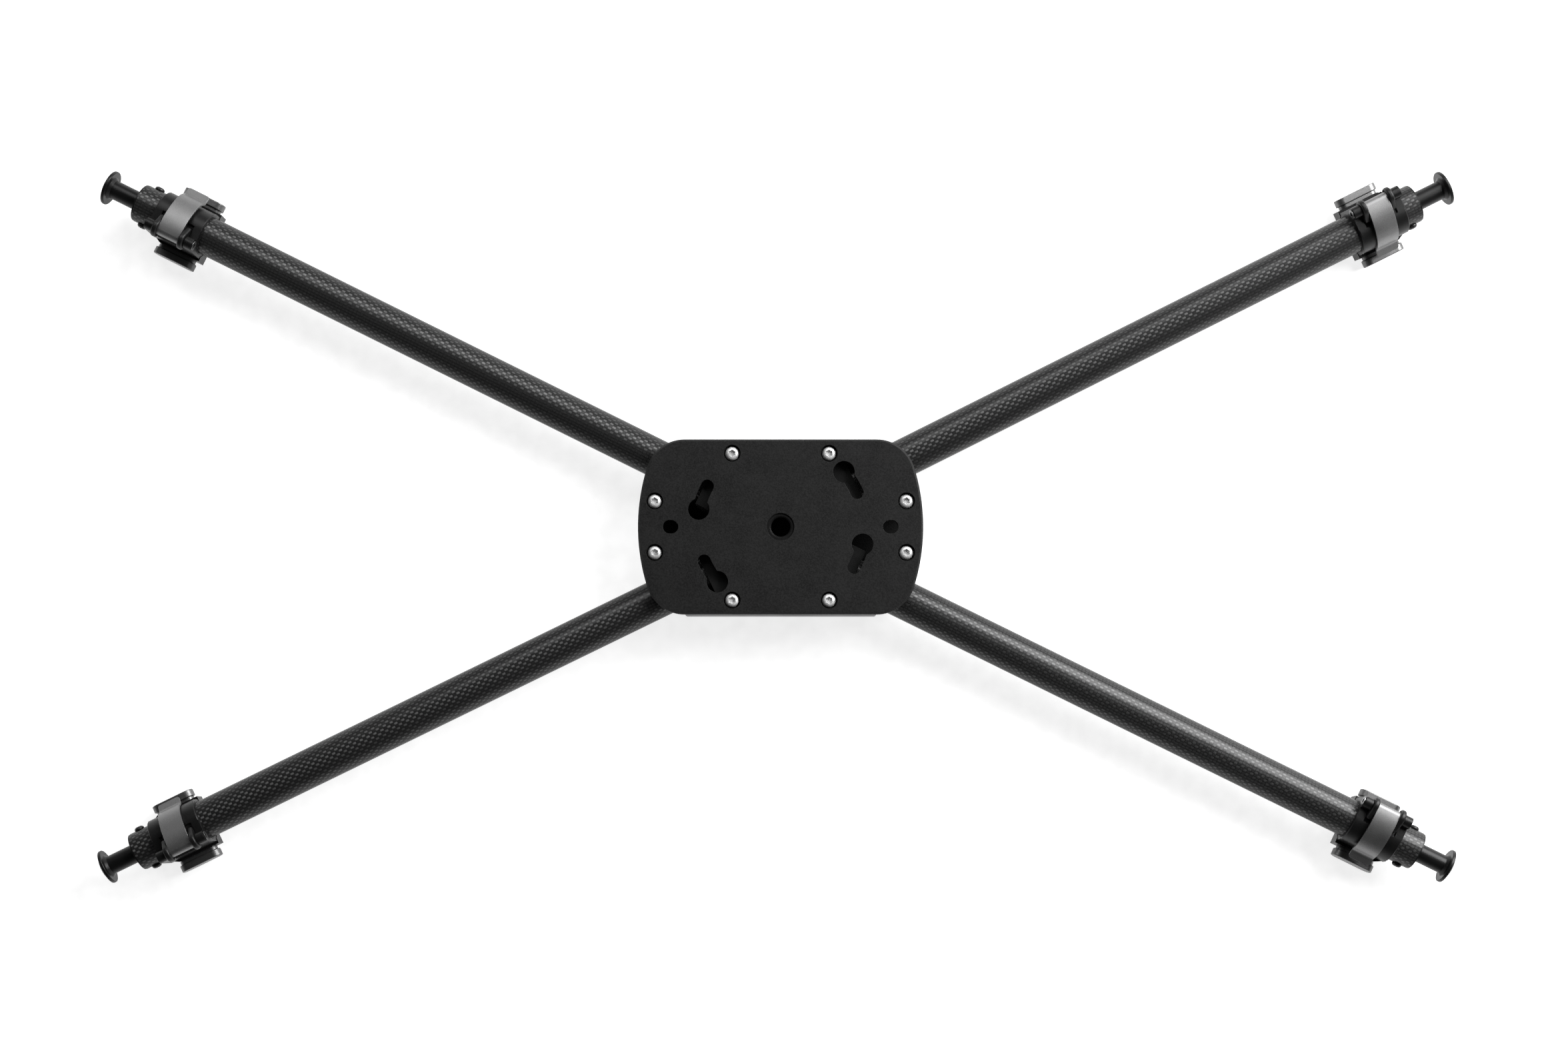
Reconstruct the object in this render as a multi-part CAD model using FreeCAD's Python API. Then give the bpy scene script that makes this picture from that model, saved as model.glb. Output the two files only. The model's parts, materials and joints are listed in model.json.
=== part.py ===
import FreeCAD, Part
import math
import os
from FreeCAD import Rotation, Vector

# Carrier cross: a sandwich hub holds four carbon tubes in a flat X, and each tube
# carries a sliding lever clamp with two T-shaped cleats and ends in a spool plug.
#
# Frame: origin on the hub axis in the plane that the hub rests on, +X along the long side of the
# hub, +Z up. Each arm is built in its own frame, u outwards along the tube, v to the left as seen
# from the hub, w up from the tube axis, and then turned to its place. All sizes in millimetres.

# ---- driving dimensions ------------------------------------------------------------------------
ARM_ANGLES_DEG = [26.57, 153.64, 205.97, 333.82]
ARM_OFFSET = 6.7                          # each tube passes the hub axis this far towards a long side
ARM_OUT = [-5.9, -1.0, -0.3, -5.9]         # how far each tube stands out from its nominal place
CLAMP_SHIFT = [4.5, 0.0, 0.0, 0.0]        # each clamp's rest place, outwards from the nominal one
CLAMP_ROLL_DEG = [-5.5, -1.5, -3.0, 6.0]  # each clamp's rest turn about its tube, hinge down
LEVER_OPEN_DEG = [0.0, 5.0, 0.0, 5.0]     # how far each lever stands open at rest
AXIS_HEIGHT = 27.0                        # tube axis above the resting plane

# hub
PLATE_HALF_LENGTH = 109.2
PLATE_HALF_WIDTH = 67.0
BOTTOM_INSET = 3.6                        # the lower plate is this much smaller all round
PLATE_CORNER_R = 30.0
PLATE_BULGE_R = 153.0
PLATE_THICK = 6.0
PLATE_CHAMFER = 1.4
HUB_TOP = 24.5                            # top face above the tube axis
RAIL_THICK = 3.7
RAIL_HALF_LENGTH = 74.7
RAIL_SETBACK = 0.4                        # wall face inside the plate's edge
RAIL_ROUND = 1.8
WEB_HALF = 3.9                            # half width of the web between pillar and wall
WEB_OVERLAP = 2.1
PILLAR_R = 5.6
OUTER_SCREW_XY = (96.3, 19.7)
INNER_SCREW_XY = (37.1, 56.2)
SCREW_HEAD_R = 5.25
SCREW_HEAD_H = 3.3
SCREW_R = 3.0
SCREW_REACH = 15.0
COUNTERBORE_R = 6.5
COUNTERBORE_DEPTH = 3.6
BOTTOM_COUNTERBORE_R = 5.7
SLOT_X = 84.2
SLOT_LENGTH = 11.8
SLOT_WIDTH = 10.3
KEY_NOMINAL_DEG = math.degrees(math.atan(0.5))
KEY_PATH_R = 64.1
KEY_HEAD_R = 8.25
KEY_SLOT_R = 5.0
KEY_HEAD_DEG = 14.4
KEY_END_DEG = -2.4
INSERT_R = 10.5
INSERT_BORE_R = 7.4
INSERT_SUNK = 1.2
INSERT_LENGTH = 32.0
INSERT_COLLAR_R = 17.0
INSERT_LEAD = 1.0                         # chamfer at the mouth of the thread

# core block that holds the tubes
CORE_REACH = 67.0
CORE_TOP = 16.2
CORE_HALF = 19.2                          # half width of the lobe round each tube
CORE_SCREW_XY = [(24.0, 0.0), (-24.0, 0.0), (0.0, 20.0), (0.0, -20.0)]
CORE_SCREW_R = 2.5
CORE_HEAD_R = 4.4
CORE_COUNTERBORE_R = 4.8
LOCK_SCREW_U = 52.0

# tube and end plug
TUBE_R = 15.0
TUBE_WALL = 2.0
TUBE_START = 34.0
TUBE_END = 557.0
PLUG_DEPTH = 30.0
PLUG_HOLLOW_R = 3.7
PLUG_HOLLOW_DEPTH = 12.0
PLUG_LIP = 1.0
PLUG_LIP_R = 14.7
SHANK_R = 7.35
SHANK_END = 582.7
DISC_R = 13.55
DISC_RIM = 2.6
DISC_DOME = 1.7
DISC_SHOULDER_R = 9.2
PLUG_SCREW_U = 549.0
PLUG_SCREW_R = 2.0
PLUG_SCREW_REACH = 9.0
PLUG_HEAD_R = 3.8
PLUG_HEAD_H = 2.5

# clamp: liner, collar, lever, pin
CLAMP_U = 520.25                          # nominal middle of the clamp along the tube
LINER_FIT = 0.05
LINER_R = 16.0
LINER_SPLIT = 1.2
LINER_HALF_LENGTH = 20.0
COLLAR_R = 17.7
COLLAR_HALF_LENGTH = 19.75
COLLAR_EDGE = 0.6
BASE_TOP = -8.0
BASE_BOTTOM = -23.0
BASE_HALF_WIDTH = 20.2
BASE_HALF_LENGTH = 20.2
BASE_CORNER_U = 6.4
BASE_CORNER_V = 3.4
BASE_EDGE = 1.2
RELIEF_R = 18.2                           # lets the base pass over the plug's screw heads
PIN_V = 13.7
PIN_W = 20.0
PIN_R = 2.5
PIN_HEAD_R = 3.7
PIN_HEAD_PROUD = 1.0
BOSS_R = 4.65
WINDOW_HALF_LENGTH = 13.5
WINDOW_START_V = -0.5
WINDOW_FLOOR_W = 12.2
CHEEK_SWING_R = 7.6
CAM_HALF_LENGTH = 13.2
CAM_R = 7.2
CAM_TOE_V = 5.0
CAM_TOE_W = 18.6
CAM_TOE_R = 2.2
CAM_CLEAR_R = 16.35
CAM_ROUND = 1.5
BAND_HALF_WIDTH = 9.0
BAND_THICK = 1.6
BAND_PIN_R = 4.5                          # outer radius where the band wraps the pin
BAND_COLLAR_R = 19.7                      # outer radius where the band lies on the collar
BAND_WRAP_START_DEG = -35.0
BAND_MEET_DEG = 130.0
BAND_LEAVE_DEG = 168.0
BAND_FLARE_R = 4.0
BAND_FLARE_DEG = 44.0
BAND_TAB_LENGTH = 5.6
BAND_TAB_ROUND = 2.0

# cleats on both sides of the clamp base
CLEAT_W = -17.0
NECK_LENGTH = 31.5
NECK_HEIGHT = 9.6
NECK_END_V = 22.9
FLANGE_LENGTH = 34.4
FLANGE_HEIGHT = 12.5
FLANGE_END_V = 28.5
FLANGE_EDGE = 0.7
CLEAT_STUD_U = 9.5
CLEAT_STUD_R = 2.0
CLEAT_STUD_INNER_V = 12.0
CLEAT_STUD_OUTER_V = 26.5                 # the studs end inside the flange

# derived
KEYHOLE_ANGLES_DEG = [KEY_NOMINAL_DEG, 180 - KEY_NOMINAL_DEG, 180 + KEY_NOMINAL_DEG, 360 - KEY_NOMINAL_DEG]
HUB_BOTTOM = -AXIS_HEIGHT
TOP_UNDER = HUB_TOP - PLATE_THICK
BOTTOM_UPPER = HUB_BOTTOM + PLATE_THICK
TUBE_BORE_R = TUBE_R - TUBE_WALL
TINY = 0.01
OVER = 1.0                                # how far a cutting tool runs past a face
FAR = 60.0
U_AXIS = Vector(1, 0, 0)
V_AXIS = Vector(0, 1, 0)
W_AXIS = Vector(0, 0, 1)


# ---- small helpers -----------------------------------------------------------------------------
def polar(radius, degrees):
    """The point at this radius and angle, as (first, second) coordinates."""
    angle = math.radians(degrees)
    return radius * math.cos(angle), radius * math.sin(angle)


def rod(radius, start, end):
    """A round bar between two points."""
    axis = end.sub(start)
    return Part.makeCylinder(radius, axis.Length, start, axis)


def block(low, high):
    """A box between two corners."""
    size = [b - a for a, b in zip(low, high)]
    return Part.makeBox(size[0], size[1], size[2], Vector(*low))


def section_solid(points, u_from, u_to):
    """A polygon in the (v, w) plane, drawn out along u."""
    ring = [Vector(u_from, v, w) for v, w in points]
    face = Part.Face(Part.makePolygon(ring + [ring[0]]))
    return face.extrude(Vector(u_to - u_from, 0, 0))


def long_side(index):
    """+1 where the arm's +v side faces a long side of the hub, else -1."""
    return 1 if index % 2 == 0 else -1


def beside_hub(shape, index, out=0.0):
    """Moves a solid from a tube's frame to its place about the hub, at tube-axis height."""
    placed = shape.copy()
    placed.translate(Vector(out, long_side(index) * ARM_OFFSET, 0))
    placed.rotate(Vector(0, 0, 0), W_AXIS, ARM_ANGLES_DEG[index])
    return placed


def to_arm(shape, index):
    """Turns a solid from the arm's frame to its place on the hub."""
    return raised(beside_hub(shape, index, ARM_OUT[index]))


def to_clamp(shape, index):
    """Slides and rolls a clamp part, drawn about u = 0, to its rest place on its arm."""
    placed = shape.copy()
    placed.rotate(Vector(0, 0, 0), U_AXIS, -CLAMP_ROLL_DEG[index])
    placed.translate(Vector(CLAMP_U + CLAMP_SHIFT[index], 0, 0))
    return to_arm(placed, index)


def to_lever(shape, index):
    """Opens a lever part about the hinge pin and places it with its clamp."""
    placed = shape.copy()
    placed.rotate(Vector(0, PIN_V, PIN_W), U_AXIS, -LEVER_OPEN_DEG[index])
    return to_clamp(placed, index)


def raised(shape):
    """Lifts a hub part from tube-axis height to the resting frame."""
    placed = shape.copy()
    placed.translate(Vector(0, 0, AXIS_HEIGHT))
    return placed


def save(shape, node):
    shape.exportStep("parts/" + node + ".step")


def fuse(shapes):
    """One solid from several that share faces or volume."""
    whole = shapes[0].multiFuse(shapes[1:]) if len(shapes) > 1 else shapes[0]
    return whole.removeSplitter()


# ---- fasteners ---------------------------------------------------------------------------------
def star_recess(radius, depth):
    """A six-lobed driver recess going down from z = 0, with its tool running on above."""
    lobe_r = radius * 0.26
    height = depth + OVER
    cuts = [Part.makeCylinder(radius * 0.78, height, Vector(0, 0, -depth))]
    for index in range(6):
        x, y = polar(radius - lobe_r, index * 60 + 30)
        cuts.append(Part.makeCylinder(lobe_r, height, Vector(x, y, -depth)))
    return fuse(cuts)


def button_screw(head_r, head_h, shank_r, reach):
    """A domed screw: seat at z = 0, head above it, shank below."""
    rim_h = head_h * 0.3
    crown_r = head_r * 0.45
    side = Part.Arc(
        Vector(head_r, 0, rim_h),
        Vector(head_r * 0.84, 0, head_h * 0.74),
        Vector(crown_r, 0, head_h),
    ).toShape()
    outline = [
        Part.makePolygon([Vector(0, 0, 0), Vector(head_r, 0, 0), Vector(head_r, 0, rim_h)]),
        side,
        Part.makePolygon([Vector(crown_r, 0, head_h), Vector(0, 0, head_h), Vector(0, 0, 0)]),
    ]
    edges = [edge for part in outline for edge in part.Edges]
    head = Part.Face(Part.Wire(edges)).revolve(Vector(0, 0, 0), W_AXIS, 360)
    shank = Part.makeCylinder(shank_r, reach, Vector(0, 0, -reach))
    recess = star_recess(head_r * 0.53, head_h * 0.62)
    recess.translate(Vector(0, 0, head_h))
    return fuse([head, shank]).cut(recess)


def aimed(shape, seat, direction):
    """Puts a screw's seat at a point, its head facing along the direction."""
    placed = shape.copy()
    placed.Placement = FreeCAD.Placement(seat, Rotation(W_AXIS, direction))
    return placed


# ---- hub ---------------------------------------------------------------------------------------
def hub_screw_places():
    places = []
    for x, y in (OUTER_SCREW_XY, INNER_SCREW_XY):
        places += [(x, y), (-x, y), (x, -y), (-x, -y)]
    return places


def plate_outline(inset):
    """Straight long sides, bulged short sides and round corners, as one wire at z = 0."""
    half_length = PLATE_HALF_LENGTH - inset
    half_width = PLATE_HALF_WIDTH - inset
    corner_r = PLATE_CORNER_R - inset
    bulge_r = PLATE_BULGE_R - inset
    bulge_centre_x = half_length - bulge_r
    corner_y = half_width - corner_r
    reach = bulge_r - corner_r
    corner_x = bulge_centre_x + math.sqrt(reach ** 2 - corner_y ** 2)
    lean = math.atan2(corner_y, corner_x - bulge_centre_x)
    meet = (bulge_centre_x + bulge_r * math.cos(lean), bulge_r * math.sin(lean))
    half = (math.pi / 2 + lean) / 2
    mid = (corner_x + corner_r * math.cos(half), corner_y + corner_r * math.sin(half))
    edges = []
    for side in (1, -1):
        edges.append(Part.Arc(
            Vector(side * meet[0], -side * meet[1], 0),
            Vector(side * half_length, 0, 0),
            Vector(side * meet[0], side * meet[1], 0),
        ).toShape())
        edges.append(Part.Arc(
            Vector(side * meet[0], side * meet[1], 0),
            Vector(side * mid[0], side * mid[1], 0),
            Vector(side * corner_x, side * half_width, 0),
        ).toShape())
        edges.append(Part.LineSegment(
            Vector(side * corner_x, side * half_width, 0),
            Vector(-side * corner_x, side * half_width, 0),
        ).toShape())
        edges.append(Part.Arc(
            Vector(-side * corner_x, side * half_width, 0),
            Vector(-side * mid[0], side * mid[1], 0),
            Vector(-side * meet[0], side * meet[1], 0),
        ).toShape())
    return Part.Wire(Part.__sortEdges__(edges))


def plate_blank(bottom, outer_z, inset=0.0):
    """A plate slab with its outer rim edge chamfered."""
    slab = Part.Face(plate_outline(inset)).extrude(Vector(0, 0, PLATE_THICK))
    slab.translate(Vector(0, 0, bottom))
    rim = [edge for edge in slab.Edges if all(abs(p.Point.z - outer_z) < TINY for p in edge.Vertexes)]
    return slab.makeChamfer(PLATE_CHAMFER, rim)


def keyhole(nominal_deg):
    """A round entry with a narrower slot that runs clockwise along its circle."""
    low = TOP_UNDER - OVER
    height = PLATE_THICK + 2 * OVER
    head_deg = nominal_deg + KEY_HEAD_DEG
    end_deg = nominal_deg + KEY_END_DEG
    hx, hy = polar(KEY_PATH_R, head_deg)
    ex, ey = polar(KEY_PATH_R, end_deg)
    head = Part.makeCylinder(KEY_HEAD_R, height, Vector(hx, hy, low))
    end = Part.makeCylinder(KEY_SLOT_R, height, Vector(ex, ey, low))
    sweep = head_deg - end_deg
    outer = Part.makeCylinder(KEY_PATH_R + KEY_SLOT_R, height, Vector(0, 0, low), W_AXIS, sweep)
    inner = Part.makeCylinder(KEY_PATH_R - KEY_SLOT_R, height, Vector(0, 0, low), W_AXIS, sweep)
    track = outer.cut(inner)
    track.rotate(Vector(0, 0, 0), W_AXIS, end_deg)
    return head.fuse([end, track])


def obround(x, length, width, bottom, top):
    """A slot with round ends, longer along X, cut through a plate."""
    half = (length - width) / 2
    radius = width / 2
    core = block((x - half, -radius, bottom), (x + half, radius, top))
    ends = [rod(radius, Vector(c, 0, bottom), Vector(c, 0, top)) for c in (x - half, x + half)]
    return core.fuse(ends)


def hub_top_plate():
    plate = plate_blank(TOP_UNDER, HUB_TOP)
    cuts = [keyhole(angle) for angle in KEYHOLE_ANGLES_DEG]
    low = TOP_UNDER - OVER
    high = HUB_TOP + OVER
    cuts += [obround(s * SLOT_X, SLOT_LENGTH, SLOT_WIDTH, low, high) for s in (1, -1)]
    cuts.append(rod(INSERT_R, Vector(0, 0, low), Vector(0, 0, high)))
    for x, y in hub_screw_places():
        cuts.append(rod(SCREW_R, Vector(x, y, low), Vector(x, y, HUB_TOP)))
        cuts.append(rod(COUNTERBORE_R, Vector(x, y, HUB_TOP - COUNTERBORE_DEPTH), Vector(x, y, high)))
    return plate.cut(cuts)


def hub_bottom_plate():
    plate = plate_blank(HUB_BOTTOM, HUB_BOTTOM, BOTTOM_INSET)
    seat_z = HUB_BOTTOM + COUNTERBORE_DEPTH
    cuts = []
    for x, y in hub_screw_places():
        cuts.append(rod(SCREW_R, Vector(x, y, HUB_BOTTOM), Vector(x, y, BOTTOM_UPPER + OVER)))
        cuts.append(rod(BOTTOM_COUNTERBORE_R, Vector(x, y, HUB_BOTTOM - OVER), Vector(x, y, seat_z)))
    for x, y in CORE_SCREW_XY:
        cuts.append(rod(CORE_SCREW_R, Vector(x, y, HUB_BOTTOM), Vector(x, y, BOTTOM_UPPER + OVER)))
        cuts.append(rod(CORE_COUNTERBORE_R, Vector(x, y, HUB_BOTTOM - OVER), Vector(x, y, seat_z)))
    return plate.cut(cuts)


def side_rail(side):
    """The wall along one long side, with two pillars that take the plate screws."""
    outer_y = PLATE_HALF_WIDTH - RAIL_SETBACK
    inner_y = outer_y - RAIL_THICK
    wall = block((-RAIL_HALF_LENGTH, inner_y, BOTTOM_UPPER), (RAIL_HALF_LENGTH, outer_y, TOP_UNDER))
    uprights = [edge for edge in wall.Edges if abs(edge.tangentAt(edge.FirstParameter).z) > 0.9]
    solids = [wall.makeFillet(RAIL_ROUND, uprights)]
    holes = []
    for x in (INNER_SCREW_XY[0], -INNER_SCREW_XY[0]):
        low, high = Vector(x, INNER_SCREW_XY[1], BOTTOM_UPPER), Vector(x, INNER_SCREW_XY[1], TOP_UNDER)
        solids.append(rod(PILLAR_R, low, high))
        solids.append(block((x - WEB_HALF, low.y, low.z), (x + WEB_HALF, inner_y + WEB_OVERLAP, high.z)))
        holes.append(rod(SCREW_R, low, high))
    rail = fuse(solids).cut(holes)
    return rail if side > 0 else rail.mirror(Vector(0, 0, 0), V_AXIS)


def end_spacers():
    """Four round standoffs near the short sides."""
    x, y = OUTER_SCREW_XY
    solids = []
    for px, py in [(x, y), (-x, y), (x, -y), (-x, -y)]:
        post = rod(PILLAR_R, Vector(px, py, BOTTOM_UPPER), Vector(px, py, TOP_UNDER))
        solids.append(post.cut(rod(SCREW_R, Vector(px, py, BOTTOM_UPPER), Vector(px, py, TOP_UNDER))))
    return Part.makeCompound(solids)


def plate_screws(up):
    """Eight domed screws that pull one plate onto the pillars."""
    seat = HUB_TOP - COUNTERBORE_DEPTH if up > 0 else HUB_BOTTOM + COUNTERBORE_DEPTH
    screw = button_screw(SCREW_HEAD_R, SCREW_HEAD_H, SCREW_R, SCREW_REACH)
    return Part.makeCompound([
        aimed(screw, Vector(x, y, seat), Vector(0, 0, up)) for x, y in hub_screw_places()
    ])


def core_screws():
    screw = button_screw(CORE_HEAD_R, SCREW_HEAD_H * 0.85, CORE_SCREW_R, SCREW_REACH)
    seat = HUB_BOTTOM + COUNTERBORE_DEPTH
    return Part.makeCompound([aimed(screw, Vector(x, y, seat), Vector(0, 0, -1)) for x, y in CORE_SCREW_XY])


def core_lobe():
    """One arm socket of the core, solid, along u."""
    return block((0, -CORE_HALF, BOTTOM_UPPER), (CORE_REACH, CORE_HALF, CORE_TOP))


def lock_screw_seat(index):
    return Vector(LOCK_SCREW_U, long_side(index) * (CORE_HALF - COUNTERBORE_DEPTH), 0)


def core_block():
    lobes = []
    cuts = []
    for index in range(len(ARM_ANGLES_DEG)):
        out = ARM_OUT[index]
        side = long_side(index)
        lobes.append(beside_hub(core_lobe(), index))
        seat = lock_screw_seat(index)
        beyond = Vector(LOCK_SCREW_U, side * CORE_HALF * 2, 0)
        cuts.append(beside_hub(rod(TUBE_R, Vector(TUBE_START, 0, 0), Vector(FAR * 2, 0, 0)), index, out))
        cuts.append(beside_hub(rod(SCREW_R, Vector(LOCK_SCREW_U, side * TUBE_BORE_R, 0), seat), index, out))
        cuts.append(beside_hub(rod(COUNTERBORE_R, seat, beyond), index, out))
    boss = rod(INSERT_COLLAR_R, Vector(0, 0, CORE_TOP - OVER), Vector(0, 0, TOP_UNDER))
    cuts.append(Part.makeCylinder(INSERT_R, FAR, Vector(0, 0, HUB_TOP - INSERT_SUNK - INSERT_LENGTH)))
    screw_end = HUB_BOTTOM + COUNTERBORE_DEPTH + SCREW_REACH
    for x, y in CORE_SCREW_XY:
        cuts.append(rod(CORE_SCREW_R, Vector(x, y, BOTTOM_UPPER - OVER), Vector(x, y, screw_end)))
    return fuse(lobes + [boss]).cut(cuts)


def centre_insert():
    """The threaded bush in the middle of the hub, drawn with its thread's inner diameter."""
    top = HUB_TOP - INSERT_SUNK
    bush = Part.makeCylinder(INSERT_R, INSERT_LENGTH, Vector(0, 0, top - INSERT_LENGTH))
    lead_in = Part.makeCone(
        INSERT_BORE_R, INSERT_BORE_R + INSERT_LEAD, INSERT_LEAD, Vector(0, 0, top - INSERT_LEAD)
    )
    return bush.cut([Part.makeCylinder(INSERT_BORE_R, FAR, Vector(0, 0, top - FAR)), lead_in])


def tube_lock_screws():
    solids = []
    for index in range(len(ARM_ANGLES_DEG)):
        seat = lock_screw_seat(index)
        screw = button_screw(SCREW_HEAD_R, SCREW_HEAD_H, SCREW_R, abs(seat.y) - TUBE_BORE_R)
        solids.append(to_arm(aimed(screw, seat, Vector(0, long_side(index), 0)), index))
    return Part.makeCompound(solids)


# ---- arm ---------------------------------------------------------------------------------------
def arm_tube(index):
    outer = rod(TUBE_R, Vector(TUBE_START, 0, 0), Vector(TUBE_END, 0, 0))
    inner = rod(TUBE_BORE_R, Vector(TUBE_START, 0, 0), Vector(TUBE_END, 0, 0))
    lock_hole = rod(SCREW_R, Vector(LOCK_SCREW_U, 0, 0), Vector(LOCK_SCREW_U, long_side(index) * FAR, 0))
    plug_holes = rod(PLUG_SCREW_R, Vector(PLUG_SCREW_U, -FAR, 0), Vector(PLUG_SCREW_U, FAR, 0))
    return outer.cut([inner, lock_hole, plug_holes])


def end_plug():
    """A spool: a spigot in the tube, a thin lip, a slim shank and a domed disc."""
    spigot = rod(TUBE_BORE_R, Vector(TUBE_END - PLUG_DEPTH, 0, 0), Vector(TUBE_END, 0, 0))
    lip_end = TUBE_END + PLUG_LIP
    lip = rod(PLUG_LIP_R, Vector(TUBE_END, 0, 0), Vector(lip_end, 0, 0))
    shank = rod(SHANK_R, Vector(lip_end, 0, 0), Vector(SHANK_END, 0, 0))
    rim_end = SHANK_END + DISC_RIM
    disc = rod(DISC_R, Vector(SHANK_END, 0, 0), Vector(rim_end, 0, 0))
    disc = disc.makeFillet(DISC_RIM * 0.3, [disc.Edges[0], disc.Edges[2]])
    dome_base = DISC_R - DISC_DOME
    dome = Part.makeCone(dome_base, dome_base - DISC_DOME * 2, DISC_DOME, Vector(rim_end, 0, 0), U_AXIS)
    shoulder_length = DISC_SHOULDER_R - SHANK_R
    shoulder = Part.makeCone(
        SHANK_R, DISC_SHOULDER_R, shoulder_length, Vector(SHANK_END - shoulder_length, 0, 0), U_AXIS
    )
    plug_start = TUBE_END - PLUG_DEPTH
    hollow = rod(PLUG_HOLLOW_R, Vector(plug_start, 0, 0), Vector(plug_start + PLUG_HOLLOW_DEPTH, 0, 0))
    hole_end = TUBE_R - PLUG_SCREW_REACH
    screw_holes = [
        rod(PLUG_SCREW_R, Vector(PLUG_SCREW_U, s * hole_end, 0), Vector(PLUG_SCREW_U, s * TUBE_R, 0))
        for s in (1, -1)
    ]
    return fuse([spigot, lip, shank, disc, dome, shoulder]).cut([hollow] + screw_holes)


def plug_screws():
    screw = button_screw(PLUG_HEAD_R, PLUG_HEAD_H, PLUG_SCREW_R, PLUG_SCREW_REACH)
    return [aimed(screw, Vector(PLUG_SCREW_U, s * TUBE_R, 0), Vector(0, s, 0)) for s in (1, -1)]


# ---- clamp -------------------------------------------------------------------------------------
def clamp_liner():
    """The split plastic sleeve that slides on the tube."""
    half = LINER_HALF_LENGTH
    sleeve = rod(LINER_R, Vector(-half, 0, 0), Vector(half, 0, 0))
    bore = rod(TUBE_R + LINER_FIT, Vector(-half, 0, 0), Vector(half, 0, 0))
    split = block((-half, -LINER_SPLIT / 2, -LINER_R - OVER), (half, LINER_SPLIT / 2, 0))
    return sleeve.cut([bore, split])


def base_outline():
    """The base from above: square corners towards the hub, cut corners towards the tip."""
    u = BASE_HALF_LENGTH
    v = BASE_HALF_WIDTH
    return [
        (-u, -v), (u - BASE_CORNER_U, -v), (u, -v + BASE_CORNER_V),
        (u, v - BASE_CORNER_V), (u - BASE_CORNER_U, v), (-u, v),
    ]


def collar_base():
    ring = [Vector(u, v, BASE_BOTTOM) for u, v in base_outline()]
    solid = Part.Face(Part.makePolygon(ring + [ring[0]])).extrude(Vector(0, 0, BASE_TOP - BASE_BOTTOM))
    edges = [edge for edge in solid.Edges if all(abs(p.Point.z - BASE_BOTTOM) < TINY for p in edge.Vertexes)]
    return solid.makeChamfer(BASE_EDGE, edges)


def clamp_collar():
    """The black clamp body: collar, hinge bosses and base, with the cam window cut through."""
    half = COLLAR_HALF_LENGTH
    start, end = Vector(-half, 0, 0), Vector(half, 0, 0)
    ring = rod(COLLAR_R, start, end)
    ring = ring.makeChamfer(COLLAR_EDGE, [ring.Edges[0], ring.Edges[2]])
    walls = block((-half, -COLLAR_R, BASE_TOP), (half, COLLAR_R, 0))
    shelf = block((-half, 0, 0), (half, PIN_V, COLLAR_R))
    hinge_wall = block((-half, PIN_V - BOSS_R, BASE_TOP), (half, PIN_V + BOSS_R, PIN_W))
    boss = rod(BOSS_R, Vector(-half, PIN_V, PIN_W), Vector(half, PIN_V, PIN_W))
    body = fuse([ring, walls, shelf, hinge_wall, boss, collar_base()])
    window = block((-WINDOW_HALF_LENGTH, WINDOW_START_V, WINDOW_FLOOR_W), (WINDOW_HALF_LENGTH, FAR, FAR))
    swing_from, swing_to = Vector(-WINDOW_HALF_LENGTH, PIN_V, PIN_W), Vector(WINDOW_HALF_LENGTH, PIN_V, PIN_W)
    swing = rod(CHEEK_SWING_R, swing_from, swing_to)
    bore = rod(LINER_R + LINER_FIT, Vector(-FAR, 0, 0), Vector(FAR, 0, 0))
    reliefs = [
        rod(RELIEF_R, Vector(s * half, 0, 0), Vector(s * FAR, 0, 0)) for s in (1, -1)
    ]
    pin_hole = rod(PIN_R, Vector(-FAR, PIN_V, PIN_W), Vector(FAR, PIN_V, PIN_W))
    screw_holes = [
        rod(CLEAT_STUD_R, Vector(u, s * CLEAT_STUD_INNER_V, CLEAT_W), Vector(u, s * FAR, CLEAT_W))
        for u in (CLEAT_STUD_U, -CLEAT_STUD_U) for s in (1, -1)
    ]
    return body.cut([window, swing, bore, pin_hole] + reliefs + screw_holes)


def hinge_pin():
    """A shouldered pin with its driven head on the hub side."""
    half = COLLAR_HALF_LENGTH
    shaft = rod(PIN_R, Vector(-half, PIN_V, PIN_W), Vector(half, PIN_V, PIN_W))
    head_end = -half - PIN_HEAD_PROUD
    head = rod(PIN_HEAD_R, Vector(head_end, PIN_V, PIN_W), Vector(-half, PIN_V, PIN_W))
    head = head.makeChamfer(PIN_HEAD_PROUD * 0.4, [head.Edges[0]])
    recess = star_recess(PIN_R * 0.85, PIN_HEAD_R * 0.6)
    recess.Placement = FreeCAD.Placement(Vector(head_end, PIN_V, PIN_W), Rotation(W_AXIS, Vector(-1, 0, 0)))
    return fuse([shaft, head]).cut(recess)


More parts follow.
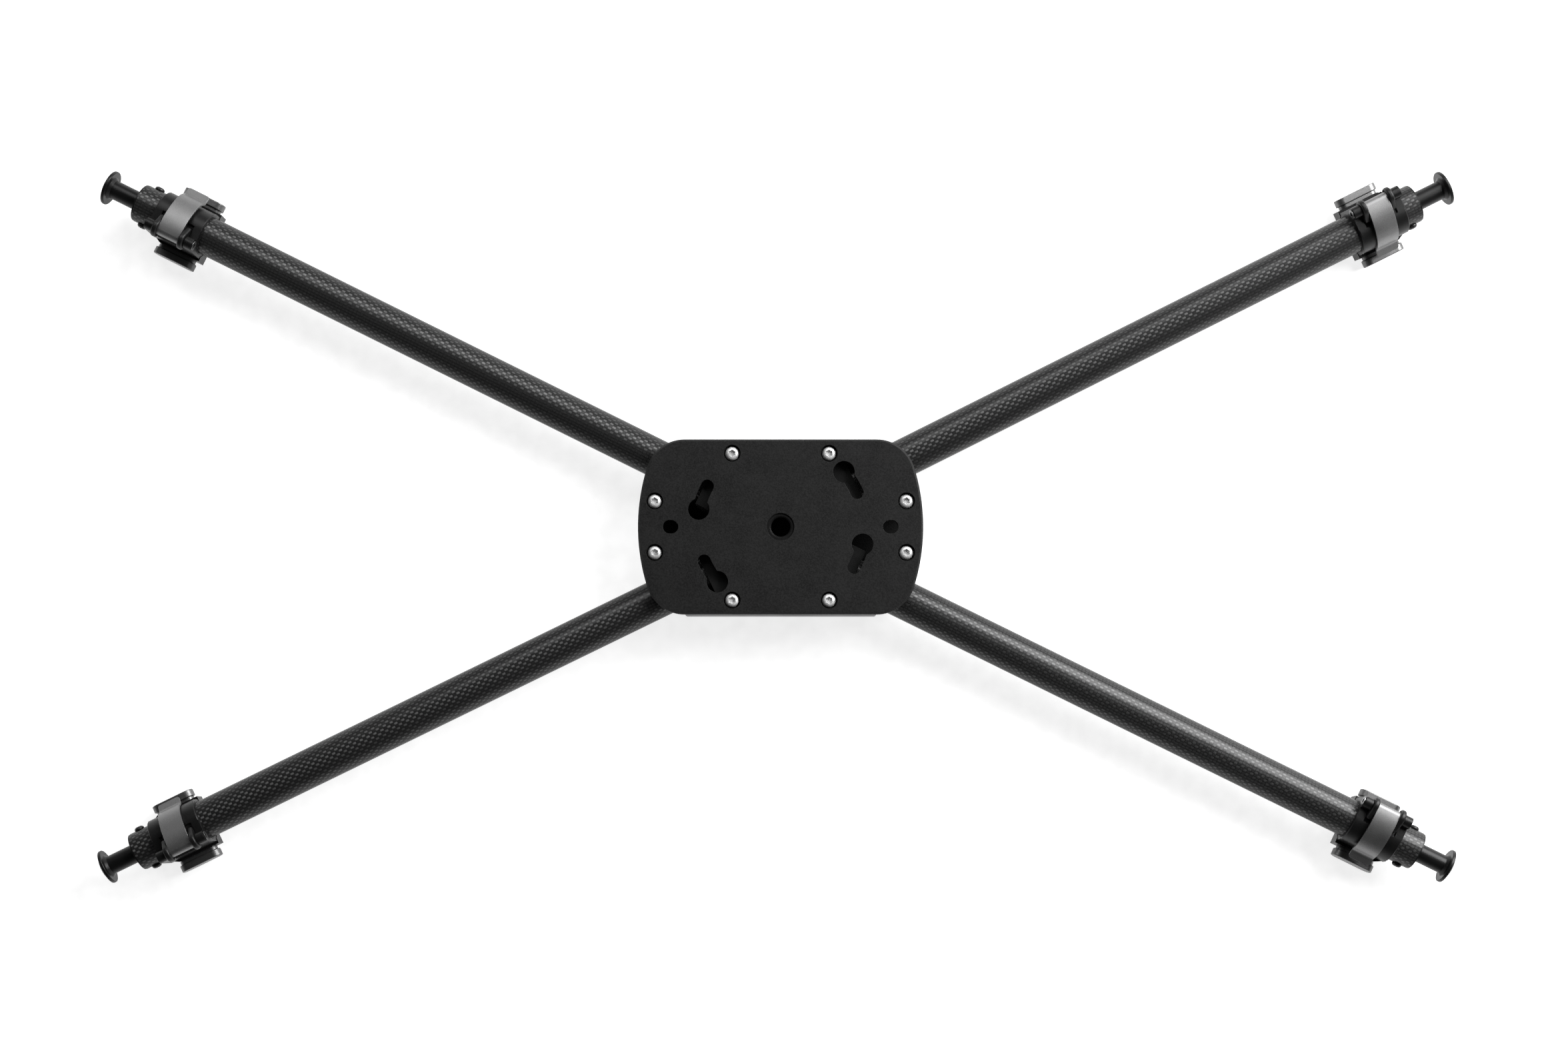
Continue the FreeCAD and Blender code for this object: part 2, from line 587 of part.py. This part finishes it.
def band_arcs():
    """The lever band's outer line as tangent arcs: (centre, radius, from, to, turn), angles in degrees.

    turn is +1 where the band's outer face is the arc's convex side and -1 in the flare. The long
    arc is the circle that touches both the pin's wrap and the collar's circle from inside.
    """
    meet = math.radians(BAND_MEET_DEG)
    along = PIN_V * math.cos(meet) + PIN_W * math.sin(meet)
    gap = BAND_COLLAR_R - BAND_PIN_R
    extra = (PIN_V ** 2 + PIN_W ** 2 - gap ** 2) / (2 * (gap - along))
    long_r = BAND_COLLAR_R + extra
    cv, cw = -extra * math.cos(meet), -extra * math.sin(meet)
    wrap_end = math.degrees(math.atan2(PIN_W - cw, PIN_V - cv))
    flare = polar(BAND_COLLAR_R + BAND_FLARE_R, BAND_LEAVE_DEG)
    turn_from = BAND_LEAVE_DEG + 180
    return [
        ((PIN_V, PIN_W), BAND_PIN_R, BAND_WRAP_START_DEG, wrap_end, 1),
        ((cv, cw), long_r, wrap_end, BAND_MEET_DEG, 1),
        ((0.0, 0.0), BAND_COLLAR_R, BAND_MEET_DEG, BAND_LEAVE_DEG, 1),
        (flare, BAND_FLARE_R, turn_from, turn_from - BAND_FLARE_DEG, -1),
    ]


def arc_point(centre, radius, degrees):
    v, w = polar(radius, degrees)
    return Vector(0, centre[0] + v, centre[1] + w)


def band_line(inset):
    """The band's line moved inwards by inset, as edges from the pin to the tab."""
    edges = []
    for centre, radius, start, end, turn in band_arcs():
        r = radius - turn * inset
        edges.append(Part.Arc(
            arc_point(centre, r, start), arc_point(centre, r, (start + end) / 2), arc_point(centre, r, end)
        ).toShape())
    centre, radius, _, end, turn = band_arcs()[-1]
    corner = arc_point(centre, radius - turn * inset, end)
    heading = math.radians(end - 90)
    tip = corner.add(Vector(0, math.cos(heading), math.sin(heading)).multiply(BAND_TAB_LENGTH))
    edges.append(Part.makeLine(corner, tip))
    return edges


def line_ends(edges):
    return edges[0].Vertexes[0].Point, edges[-1].Vertexes[-1].Point


def lever_band():
    """The grey lever: a bent strip from the pin, over the collar, to its flared finger tab."""
    outer = band_line(0)
    inner = band_line(BAND_THICK)
    outer_start, outer_end = line_ends(outer)
    inner_start, inner_end = line_ends(inner)
    edges = outer + inner + [Part.makeLine(outer_start, inner_start), Part.makeLine(outer_end, inner_end)]
    face = Part.Face(Part.Wire(Part.__sortEdges__(edges)))
    face.translate(Vector(-BAND_HALF_WIDTH, 0, 0))
    strip = face.extrude(Vector(2 * BAND_HALF_WIDTH, 0, 0))
    tab_edges = [
        edge for edge in strip.Edges
        if edge.Length < BAND_THICK * 1.01
        and abs(edge.CenterOfMass.y - (outer_end.y + inner_end.y) / 2) < TINY
    ]
    return strip.makeFillet(BAND_TAB_ROUND, tab_edges)


def outside_band():
    """Everything on the outer side of the band's inner face, near the hinge."""
    inner = band_line(BAND_THICK)[:2]
    start = inner[0].Vertexes[0].Point
    end = inner[-1].Vertexes[-1].Point
    below = arc_point((PIN_V, PIN_W), FAR, BAND_WRAP_START_DEG)
    corners = [end, Vector(0, -FAR, FAR), Vector(0, FAR, FAR), below, start]
    edges = inner + Part.makePolygon(corners).Edges
    face = Part.Face(Part.Wire(Part.__sortEdges__(edges)))
    face.translate(Vector(-BAND_HALF_WIDTH, 0, 0))
    return face.extrude(Vector(2 * BAND_HALF_WIDTH, 0, 0))


def cam_profile(u_from, u_to, toe_r, heel_r):
    """A round heel about the pin joined to a small toe, drawn out along u."""
    heel = rod(heel_r, Vector(u_from, PIN_V, PIN_W), Vector(u_to, PIN_V, PIN_W))
    toe = rod(toe_r, Vector(u_from, CAM_TOE_V, CAM_TOE_W), Vector(u_to, CAM_TOE_V, CAM_TOE_W))
    span = math.hypot(PIN_V - CAM_TOE_V, PIN_W - CAM_TOE_W)
    lean = math.degrees(math.atan2(CAM_TOE_W - PIN_W, CAM_TOE_V - PIN_V))
    open_deg = math.degrees(math.acos((heel_r - toe_r) / span))
    corners = []
    for v, w, r, sign in ((PIN_V, PIN_W, heel_r, -1), (CAM_TOE_V, CAM_TOE_W, toe_r, -1),
                          (CAM_TOE_V, CAM_TOE_W, toe_r, 1), (PIN_V, PIN_W, heel_r, 1)):
        dv, dw = polar(r, lean + sign * open_deg)
        corners.append((v + dv, w + dw))
    return fuse([heel, section_solid(corners, u_from, u_to), toe])


def rounded_cheek(u_from, u_to):
    cheek = cam_profile(u_from, u_to, CAM_TOE_R, CAM_R)
    rims = [edge for edge in cheek.Edges if edge.Vertexes[0].Point.x == edge.Vertexes[-1].Point.x]
    return cheek.makeFillet(CAM_ROUND, rims)


def lever_cam():
    """The black cam in the lever: two round cheeks beside the band and a web beneath it."""
    web = cam_profile(-BAND_HALF_WIDTH, BAND_HALF_WIDTH, CAM_TOE_R, CAM_R).cut(outside_band())
    cheeks = [
        rounded_cheek(BAND_HALF_WIDTH, CAM_HALF_LENGTH),
        rounded_cheek(-CAM_HALF_LENGTH, -BAND_HALF_WIDTH),
    ]
    clearance = rod(CAM_CLEAR_R, Vector(-FAR, 0, 0), Vector(FAR, 0, 0))
    pin_hole = rod(PIN_R + LINER_FIT, Vector(-FAR, PIN_V, PIN_W), Vector(FAR, PIN_V, PIN_W))
    return fuse([web] + cheeks).cut([clearance, pin_hole])


# ---- cleats ------------------------------------------------------------------------------------
def stadium(length, height, v_from, v_to):
    """A stadium section, long along u, centred at the cleat height and drawn out along v."""
    half = (length - height) / 2
    core = block((-half, v_from, CLEAT_W - height / 2), (half, v_to, CLEAT_W + height / 2))
    ends = [
        rod(height / 2, Vector(s * half, v_from, CLEAT_W), Vector(s * half, v_to, CLEAT_W)) for s in (1, -1)
    ]
    return fuse([core] + ends)


def cleat(side):
    """One T-shaped lug: a neck on the base and a wider flange outside it."""
    neck = stadium(NECK_LENGTH, NECK_HEIGHT, BASE_HALF_WIDTH, NECK_END_V)
    flange = stadium(FLANGE_LENGTH, FLANGE_HEIGHT, NECK_END_V, FLANGE_END_V)
    rims = [edge for edge in flange.Edges if abs(edge.tangentAt(edge.FirstParameter).y) < 0.5]
    flange = flange.makeFillet(FLANGE_EDGE, rims)
    holes = [
        rod(CLEAT_STUD_R, Vector(u, 0, CLEAT_W), Vector(u, CLEAT_STUD_OUTER_V, CLEAT_W))
        for u in (CLEAT_STUD_U, -CLEAT_STUD_U)
    ]
    lug = fuse([neck, flange]).cut(holes)
    return lug if side > 0 else lug.mirror(Vector(0, 0, 0), V_AXIS)


def cleat_studs():
    """Headless studs that hold the cleats on the base, two on each side."""
    studs = []
    for u in (CLEAT_STUD_U, -CLEAT_STUD_U):
        for s in (1, -1):
            inner = Vector(u, s * CLEAT_STUD_INNER_V, CLEAT_W)
            outer = Vector(u, s * CLEAT_STUD_OUTER_V, CLEAT_W)
            studs.append(rod(CLEAT_STUD_R, inner, outer))
    return studs


# ---- writing the parts -------------------------------------------------------------------------
def write_hub():
    save(raised(hub_top_plate()), "hub_top_plate")
    save(raised(hub_bottom_plate()), "hub_bottom_plate")
    save(raised(core_block()), "hub_core_block")
    save(raised(side_rail(1)), "hub_rail_back")
    save(raised(side_rail(-1)), "hub_rail_front")
    save(raised(end_spacers()), "hub_end_spacers")
    save(raised(centre_insert()), "hub_centre_insert")
    save(raised(plate_screws(1)), "hub_top_screws")
    save(raised(plate_screws(-1)), "hub_bottom_screws")
    save(raised(core_screws()), "hub_core_screws")
    save(tube_lock_screws(), "tube_lock_screws")


def write_arm(index, plug, liner, collar, pin, band, cam, cleats):
    tag = "_" + str(index + 1)
    save(to_arm(arm_tube(index), index), "arm_tube" + tag)
    save(to_arm(plug, index), "end_plug" + tag)
    save(Part.makeCompound([to_arm(screw, index) for screw in plug_screws()]), "plug_screws" + tag)
    save(to_clamp(liner, index), "clamp_liner" + tag)
    save(to_clamp(collar, index), "clamp_collar" + tag)
    save(to_clamp(pin, index), "hinge_pin" + tag)
    save(to_lever(band, index), "lever_band" + tag)
    save(to_lever(cam, index), "lever_cam" + tag)
    save(to_clamp(cleats[0], index), "cleat_hinge_side" + tag)
    save(to_clamp(cleats[1], index), "cleat_tab_side" + tag)
    save(Part.makeCompound([to_clamp(stud, index) for stud in cleat_studs()]), "cleat_studs" + tag)


def main():
    os.makedirs("parts", exist_ok=True)
    write_hub()
    cleats = (cleat(1), cleat(-1))
    shared = (end_plug(), clamp_liner(), clamp_collar(), hinge_pin(), lever_band(), lever_cam(), cleats)
    for index in range(len(ARM_ANGLES_DEG)):
        write_arm(index, *shared)


main()
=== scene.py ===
import json
import math

import bpy
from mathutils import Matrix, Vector


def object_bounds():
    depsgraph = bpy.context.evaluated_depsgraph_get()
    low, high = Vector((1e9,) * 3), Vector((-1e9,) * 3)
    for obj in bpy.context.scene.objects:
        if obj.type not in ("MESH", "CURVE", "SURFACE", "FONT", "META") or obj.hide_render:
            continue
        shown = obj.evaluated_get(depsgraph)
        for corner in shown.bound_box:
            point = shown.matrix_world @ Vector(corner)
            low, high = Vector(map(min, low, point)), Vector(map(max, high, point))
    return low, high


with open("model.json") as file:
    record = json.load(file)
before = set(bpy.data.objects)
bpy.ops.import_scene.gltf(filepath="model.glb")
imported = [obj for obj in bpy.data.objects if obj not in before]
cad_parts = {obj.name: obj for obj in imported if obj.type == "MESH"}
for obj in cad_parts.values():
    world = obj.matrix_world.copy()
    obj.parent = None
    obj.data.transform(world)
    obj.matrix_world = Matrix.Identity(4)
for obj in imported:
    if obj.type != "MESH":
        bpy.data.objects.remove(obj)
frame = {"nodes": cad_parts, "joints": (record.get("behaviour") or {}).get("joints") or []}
cad_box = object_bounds()
joints = {joint["name"]: joint for joint in frame["joints"]}

MM = 0.001
MIX_SOCKETS = {"FLOAT": (2, 0), "VECTOR": (4, 1), "RGBA": (6, 2)}  # input A and output, by kind


# ---- node graph helper -------------------------------------------------------------------------
class Graph:
    """Short calls for building one material's nodes."""

    def __init__(self, name):
        self.material = bpy.data.materials.new(name)
        self.material.use_nodes = True
        self.tree = self.material.node_tree
        self.tree.nodes.clear()
        self.coords = self.node("ShaderNodeTexCoord").outputs["Object"]

    def node(self, kind, **settings):
        made = self.tree.nodes.new(kind)
        for key, value in settings.items():
            setattr(made, key, value)
        return made

    def feed(self, socket, value):
        """Link the value if it is a node's output, else set it on the socket itself."""
        if isinstance(value, bpy.types.NodeSocket):
            self.tree.links.new(value, socket)
        else:
            socket.default_value = value

    def math(self, operation, a, b=0.0):
        made = self.node("ShaderNodeMath", operation=operation)
        self.feed(made.inputs[0], a)
        self.feed(made.inputs[1], b)
        return made.outputs[0]

    def times(self, a, b):
        return self.math("MULTIPLY", a, b)

    def plus(self, a, b):
        return self.math("ADD", a, b)

    def power(self, a, b):
        return self.math("POWER", a, b)

    def vector_math(self, operation, a, b):
        made = self.node("ShaderNodeVectorMath", operation=operation)
        self.feed(made.inputs[0], a)
        self.feed(made.inputs[1], b)
        return made.outputs

    def ramp(self, value, low, high, out_low=0.0, out_high=1.0):
        """Smooth step from out_low at low to out_high at high."""
        made = self.node("ShaderNodeMapRange", interpolation_type="SMOOTHSTEP")
        for index, item in enumerate((value, low, high, out_low, out_high)):
            self.feed(made.inputs[index], item)
        return made.outputs[0]

    def mix(self, factor, a, b, kind="RGBA"):
        first, result = MIX_SOCKETS[kind]
        made = self.node("ShaderNodeMix", data_type=kind)
        self.feed(made.inputs["Factor"], factor)
        self.feed(made.inputs[first], a)
        self.feed(made.inputs[first + 1], b)
        return made.outputs[result]

    def noise(self, scale, detail=2.0, rough=0.5, coords=None, stretch=None):
        made = self.node("ShaderNodeTexNoise")
        vector = coords or self.coords
        if stretch:
            mapping = self.node("ShaderNodeMapping")
            self.feed(mapping.inputs["Vector"], vector)
            mapping.inputs["Scale"].default_value = stretch
            vector = mapping.outputs[0]
        self.feed(made.inputs["Vector"], vector)
        made.inputs["Scale"].default_value = scale
        made.inputs["Detail"].default_value = detail
        made.inputs["Roughness"].default_value = rough
        return made.outputs["Fac"]

    def bump(self, height, distance, strength, normal=None):
        made = self.node("ShaderNodeBump")
        made.inputs["Strength"].default_value = strength
        made.inputs["Distance"].default_value = distance
        self.feed(made.inputs["Height"], height)
        if normal is not None:
            self.feed(made.inputs["Normal"], normal)
        return made.outputs[0]

    def bevel(self, radius):
        """Normal that rounds the solid's sharp edges."""
        made = self.node("ShaderNodeBevel", samples=4)
        made.inputs["Radius"].default_value = radius
        return made.outputs[0]

    def face_normal(self):
        return self.node("ShaderNodeNewGeometry").outputs["Normal"]

    def edge_mask(self, rounded):
        """1 where a rounded edge turns away from the flat face, 0 on the face."""
        dot = self.vector_math("DOT_PRODUCT", rounded, self.face_normal())["Value"]
        return self.ramp(dot, 0.995, 0.90)

    def surface(self, **sockets):
        shader = self.node("ShaderNodeBsdfPrincipled")
        for key, value in sockets.items():
            self.feed(shader.inputs[key.replace("_", " ")], value)
        out = self.node("ShaderNodeOutputMaterial")
        self.tree.links.new(shader.outputs[0], out.inputs["Surface"])
        return self.material


def grey(value):
    return (value, value, value, 1.0)


# ---- materials ---------------------------------------------------------------------------------
def blasted_metal(name, tone, rough, shine=0.25, grain=2600.0, depth=0.012, wear_and_highlight=0.0,
                  metallic=0.0, edge=0.35, mottle=0.2):
    """Anodised, bead-blasted metal: fine grain, cloudy sheen, rounded edges, and lighter edges that
    are partly rubbed wear, partly a painted highlight.
    """
    g = Graph(name)
    fine = g.noise(grain, 2.0, 0.6)
    cloud = g.noise(38.0, 3.0, 0.55)
    rounded = g.bevel(edge * MM)
    # edge lightening: partly rubbed wear, partly a painted highlight along the rounded edges
    rub_and_edge_highlight = g.times(g.edge_mask(rounded), g.ramp(g.noise(420.0, 3.0), 0.35, 0.65, 0.4, 1.0))
    base = g.mix(g.ramp(fine, 0.25, 0.75), grey(tone * (1 - mottle)), grey(tone * (1 + mottle)))
    # lighter tone for the edges: part wear colour, part painted highlight
    worn_and_highlight_tone = min(0.75, tone * 2.4 + 0.02)
    return g.surface(
        Base_Color=g.mix(g.times(rub_and_edge_highlight, wear_and_highlight), base, grey(worn_and_highlight_tone)),
        Roughness=g.plus(g.ramp(cloud, 0.3, 0.7, rough - 0.04, rough + 0.05),
                         g.ramp(fine, 0.3, 0.7, -0.03, 0.03)),
        Metallic=metallic, Specular_IOR_Level=shine,
        Normal=g.bump(fine, depth * MM * 2, 0.6, rounded),
    )


def turned_metal(name, tone, rough, metallic, shine=0.4):
    """Bright or blackened turned steel: faint cloud, fine scratches, rounded edges."""
    g = Graph(name)
    fine = g.noise(3800.0, 2.0, 0.6)
    cloud = g.noise(300.0)
    rounded = g.bevel(0.18 * MM)
    return g.surface(
        Base_Color=g.mix(g.ramp(cloud, 0.35, 0.65), grey(tone * 0.82), grey(tone * 1.12)),
        Metallic=metallic, Specular_IOR_Level=shine,
        Roughness=g.ramp(fine, 0.25, 0.75, rough - 0.07, rough + 0.07),
        Normal=g.bump(fine, 0.01 * MM, 0.5, rounded),
    )


def moulded_plastic(name, tone, rough, shine=0.3):
    """Black moulded plastic with a fine spark-eroded grain."""
    g = Graph(name)
    pits = g.noise(1900.0, 3.0, 0.65)
    rounded = g.bevel(0.3 * MM)
    return g.surface(
        Base_Color=g.mix(g.ramp(g.noise(60.0), 0.35, 0.65), grey(tone * 0.85), grey(tone * 1.2)),
        Roughness=g.ramp(pits, 0.3, 0.7, rough - 0.06, rough + 0.06),
        Specular_IOR_Level=shine,
        Normal=g.bump(pits, 0.02 * MM, 0.7, rounded),
    )


CELL_LENGTH = 2.95 * MM     # one cell of the weave along the tube
HOOP_CELLS = 42             # cells round the tube


def carbon_weave(name, angle, offset, height):
    """Plain woven carbon under a satin coat, laid out in the tube's own length and angle."""
    g = Graph(name)
    turn = g.node("ShaderNodeVectorRotate", rotation_type="Z_AXIS")
    g.feed(turn.inputs["Vector"], g.coords)
    turn.inputs["Angle"].default_value = -angle
    parts = g.node("ShaderNodeSeparateXYZ")
    g.feed(parts.inputs[0], turn.outputs[0])
    along, across, up = parts.outputs
    side = g.math("SUBTRACT", across, offset)
    rise = g.math("SUBTRACT", up, height)
    around = g.times(g.math("ARCTAN2", side, rise), HOOP_CELLS / (2 * math.pi))

    # cells: a sine runs through zero at each border, and the sign of the product is the checker
    sway = g.times(g.math("SUBTRACT", g.noise(55.0), 0.5), 0.35)
    cells_u = g.plus(g.math("DIVIDE", along, CELL_LENGTH), sway)
    cells_s = g.plus(around, g.times(sway, 0.5))
    wave_u = g.math("SINE", g.times(cells_u, math.pi))
    wave_s = g.math("SINE", g.times(cells_s, math.pi))
    axial = g.ramp(g.times(wave_u, wave_s), -0.10, 0.10)
    arch_u = g.math("ABSOLUTE", wave_u)
    arch_s = g.math("ABSOLUTE", wave_s)

    # relief: each bundle is arched across its width and dips where it passes under the next one
    tow_axial = g.times(g.power(arch_s, 0.55), g.power(arch_u, 0.22))
    tow_hoop = g.times(g.power(arch_u, 0.55), g.power(arch_s, 0.22))
    relief = g.mix(axial, tow_hoop, tow_axial, "FLOAT")
    fibre = g.noise(900.0, 2.0, 0.6, coords=turn.outputs[0], stretch=(0.25, 2.0, 2.0))
    normal = g.bump(g.plus(relief, g.times(fibre, 0.12)), 0.11 * MM, 0.8)

    # fibres shine across their own direction
    length = g.node("ShaderNodeCombineXYZ")
    length.inputs[0].default_value = math.cos(angle)
    length.inputs[1].default_value = math.sin(angle)
    hoop = g.vector_math("CROSS_PRODUCT", g.face_normal(), length.outputs[0])["Vector"]
    tangent = g.mix(axial, length.outputs[0], hoop, "VECTOR")

    # the fibre bundles reflect like a very dark metal, the resin in the gaps hardly at all
    dash_hoop = g.times(g.power(arch_u, 0.45), g.power(arch_s, 1.3))
    dash_axial = g.times(g.power(arch_s, 1.3), g.power(arch_u, 0.5))
    dash = g.mix(axial, dash_hoop, dash_axial, "FLOAT")
    bundle = g.times(g.ramp(axial, 0.0, 1.0, 0.74, 0.18), g.ramp(fibre, 0.3, 0.7, 0.85, 1.15))
    gloss = g.times(g.ramp(dash, 0.05, 0.85, 0.08, 1.0), bundle)
    return g.surface(
        Base_Color=g.mix(gloss, grey(0.023), grey(0.105)),
        Roughness=g.plus(g.times(fibre, 0.06), 0.54), Metallic=0.85, Specular_Tint=grey(0.2),
        Anisotropic=0.8, Tangent=tangent, Normal=normal,
        Coat_Weight=0.55, Coat_Roughness=0.21, Coat_IOR=1.4,
    )


# ---- finishes on the CAD nodes -----------------------------------------------------------------
PLATE = {"grain": 1000.0, "depth": 0.05, "edge": 0.3, "mottle": 0.5}
CLEAT = {"depth": 0.008, "metallic": 0.92}
FINISH = {
    "hub_top_plate": blasted_metal("hub_black", 0.008, 0.50, shine=0.22, **PLATE),
    # painted shade: a darker, less shiny copy of the plate black, so the plate seen through the
    # hub's holes looks shadowed
    "hub_bottom_plate": blasted_metal("hub_black_painted_shade", 0.004, 0.50, shine=0.12, **PLATE),
    "hub_core_block": blasted_metal("core_black", 0.006, 0.42, depth=0.01),
    "hub_rail": blasted_metal("rail_black", 0.010, 0.40, depth=0.01),
    "hub_end_spacers": blasted_metal("spacer_black", 0.006, 0.42),
    "hub_centre_insert": turned_metal("insert_steel", 0.005, 0.45, 0.0, shine=0.15),
    "hub_top_screws": turned_metal("screw_steel", 0.76, 0.40, 0.5),
    "hub_bottom_screws": turned_metal("screw_steel_under", 0.76, 0.40, 0.5),
    "hub_core_screws": turned_metal("screw_black_core", 0.02, 0.35, 0.4),
    "tube_lock_screws": turned_metal("screw_black_lock", 0.02, 0.35, 0.4),
    "end_plug": blasted_metal("plug_black", 0.005, 0.34, shine=0.22, depth=0.006),
    "plug_screws": turned_metal("screw_black", 0.02, 0.30, 0.4),
    "clamp_liner": moulded_plastic("liner_plastic", 0.004, 0.5),
    # the collar's lighter edges are partly rubbed wear, partly a painted highlight
    "clamp_collar": blasted_metal("clamp_black", 0.005, 0.36, shine=0.22, depth=0.008, wear_and_highlight=0.15),
    "hinge_pin": turned_metal("pin_steel", 0.16, 0.32, 0.9),
    "lever_band": blasted_metal("lever_grey", 0.205, 0.45, depth=0.008, metallic=0.95),
    "lever_cam": moulded_plastic("cam_black", 0.005, 0.38, shine=0.26),
    "cleat_hinge_side": blasted_metal("cleat_grey", 0.15, 0.40, **CLEAT),
    "cleat_tab_side": blasted_metal("cleat_grey_tab", 0.15, 0.40, **CLEAT),
    "cleat_studs": turned_metal("screw_black_cleat", 0.02, 0.35, 0.4),
}


def tube_finish(tag):
    """Weave for arm tube number tag, placed by the joints of the clamp that rides on it."""
    axis = joints["clamp_slide_" + tag]["axis"]
    x, y, height = joints["clamp_turn_" + tag]["pos_m"]
    offset = axis[0] * y - axis[1] * x
    return carbon_weave("carbon_tube_" + tag, math.atan2(axis[1], axis[0]), offset, height)


for node, thing in frame["nodes"].items():
    if node.startswith("arm_tube"):
        material = tube_finish(node[-1])
    else:
        material = next(finish for key, finish in FINISH.items() if node.startswith(key))
    if thing.material_slots:
        for slot in thing.material_slots:
            slot.material = material
    else:
        thing.data.materials.append(material)


# ---- floor, light and camera -------------------------------------------------------------------
def floor_finish():
    """White back-lit sheet: it glows a little, so shadows on it stay pale."""
    g = Graph("floor_white")
    tone = g.mix(g.ramp(g.noise(90.0, 3.0), 0.3, 0.7), grey(0.50), grey(0.52))
    return g.surface(
        Base_Color=tone, Roughness=0.85, Specular_IOR_Level=0.1,
        Emission_Color=tone, Emission_Strength=1.56,
    )


FLOOR_SIZE = 60.0
FLOOR_GAP = 0.2 * MM        # keeps the floor clear of the part's lowest faces
bpy.ops.mesh.primitive_plane_add(size=FLOOR_SIZE, location=(0, 0, cad_box[0][2] - FLOOR_GAP))
floor = bpy.context.object
floor.name = "studio_floor"
floor.data.materials.append(floor_finish())


def softbox(name, azimuth, elevation, distance, width, height, power):
    """Rectangular light that faces the origin from the given angles, in degrees."""
    light = bpy.data.lights.new(name, "AREA")
    light.shape = "RECTANGLE"
    light.size = width
    light.size_y = height
    light.energy = power
    thing = bpy.data.objects.new(name, light)
    bpy.context.scene.collection.objects.link(thing)
    az, el = math.radians(azimuth), math.radians(elevation)
    direction = Vector((math.cos(el) * math.cos(az), math.cos(el) * math.sin(az), math.sin(el)))
    thing.location = direction * distance
    thing.rotation_euler = (-direction).to_track_quat("-Z", "Y").to_euler()


softbox("key_light", 34, 33, 2.1, 1.55, 1.4, 84)
softbox("back_light", 100, 45, 3.2, 2.6, 1.4, 40)

# studio walls: bright at the horizon and dark overhead, by the height of the direction
SKY_TONES = ((0.0, 0.62), (0.12, 0.54), (0.28, 0.36), (0.42, 0.14), (0.65, 0.05), (1.0, 0.03))
world = bpy.data.worlds.new("studio")
bpy.context.scene.world = world
world.use_nodes = True
tree = world.node_tree
tree.nodes.clear()
coords = tree.nodes.new("ShaderNodeTexCoord")
split = tree.nodes.new("ShaderNodeSeparateXYZ")
tree.links.new(coords.outputs["Generated"], split.inputs[0])
ramp = tree.nodes.new("ShaderNodeValToRGB")
tree.links.new(split.outputs[2], ramp.inputs[0])
stops = ramp.color_ramp.elements
for stop, (place, tone) in zip((stops[0], stops[1]), (SKY_TONES[0], SKY_TONES[-1])):
    stop.position = place
    stop.color = grey(tone)
for place, tone in SKY_TONES[1:-1]:
    stops.new(place).color = grey(tone)
background = tree.nodes.new("ShaderNodeBackground")
tree.links.new(ramp.outputs[0], background.inputs["Color"])
out = tree.nodes.new("ShaderNodeOutputWorld")
tree.links.new(background.outputs[0], out.inputs["Surface"])

# straight down like the photo, whose centre isn't below the lens: the shift makes up for that
CAMERA_X = 2.6 * MM
CAMERA_Y = -150.0 * MM
CAMERA_RISE = 1773.0 * MM   # above the tubes' axes
CAMERA_SHIFT = 0.1278
camera_data = bpy.data.cameras.new("camera")
camera = bpy.data.objects.new("camera", camera_data)
bpy.context.scene.collection.objects.link(camera)
camera.location = (CAMERA_X, CAMERA_Y, joints["clamp_turn_1"]["pos_m"][2] + CAMERA_RISE)
camera.rotation_euler = (0, 0, 0)
camera_data.sensor_width = 36.0
camera_data.lens = 52.5
camera_data.shift_y = CAMERA_SHIFT
camera_data.clip_start = 0.05
camera_data.clip_end = 100.0
bpy.context.scene.camera = camera
bpy.context.scene.view_settings.view_transform = "Standard"
